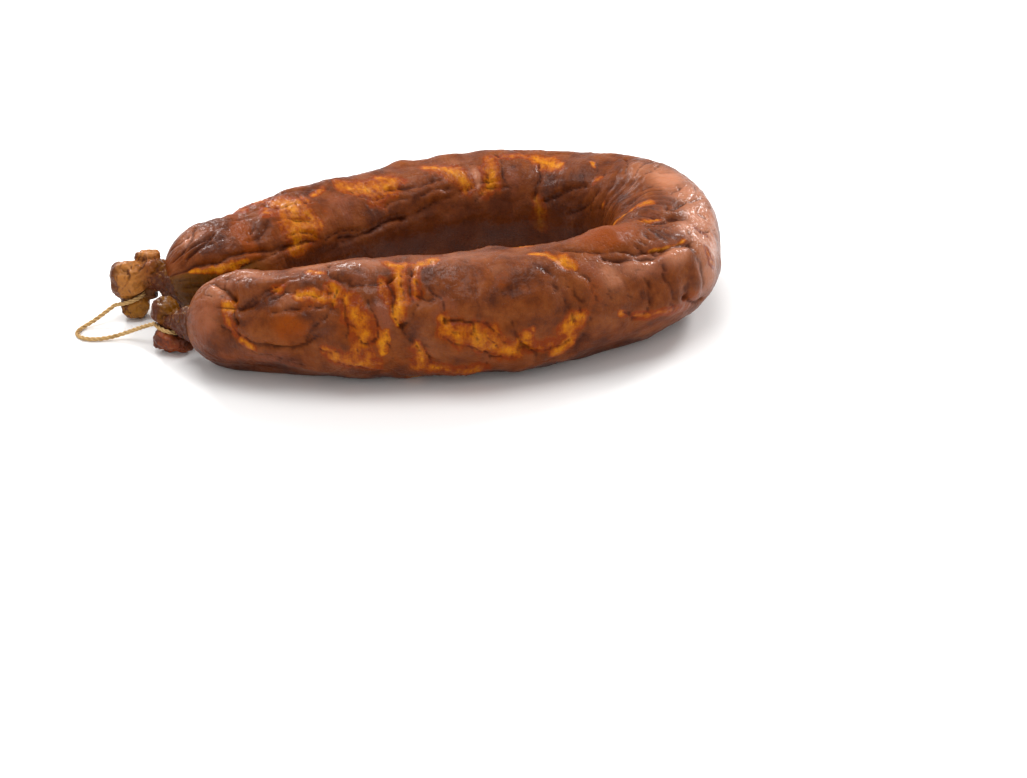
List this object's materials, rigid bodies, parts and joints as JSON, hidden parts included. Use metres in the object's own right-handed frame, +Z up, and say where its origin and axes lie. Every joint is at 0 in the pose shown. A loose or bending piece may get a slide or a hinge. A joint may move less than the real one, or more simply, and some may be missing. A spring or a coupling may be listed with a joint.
{
  "type": "cured sausage",
  "caption": "Horseshoe of coarse-cut cured sausage in wrinkled natural casing, its gathered ends tied with twine and joined by a loose loop of it.",
  "frame": {"origin": "on the surface that the sausage lies on, under the middle of its bounding box without the loop of twine", "axes": "+X along the limbs towards the bend, +Y from the front limb to the back limb, +Z up"},
  "size_m": [0.2063, 0.1242, 0.0383],
  "materials": {
    "casing": "semi-gloss, oily, red-brown meat with orange-yellow fat showing through",
    "twine": "matte, twisted, slightly fuzzy"
  },
  "bodies": {
    "root": {"sausage": "casing", "twine_tie_back": "twine", "twine_tie_front": "twine", "twine_loop": "twine"}
  },
  "joints": []
}
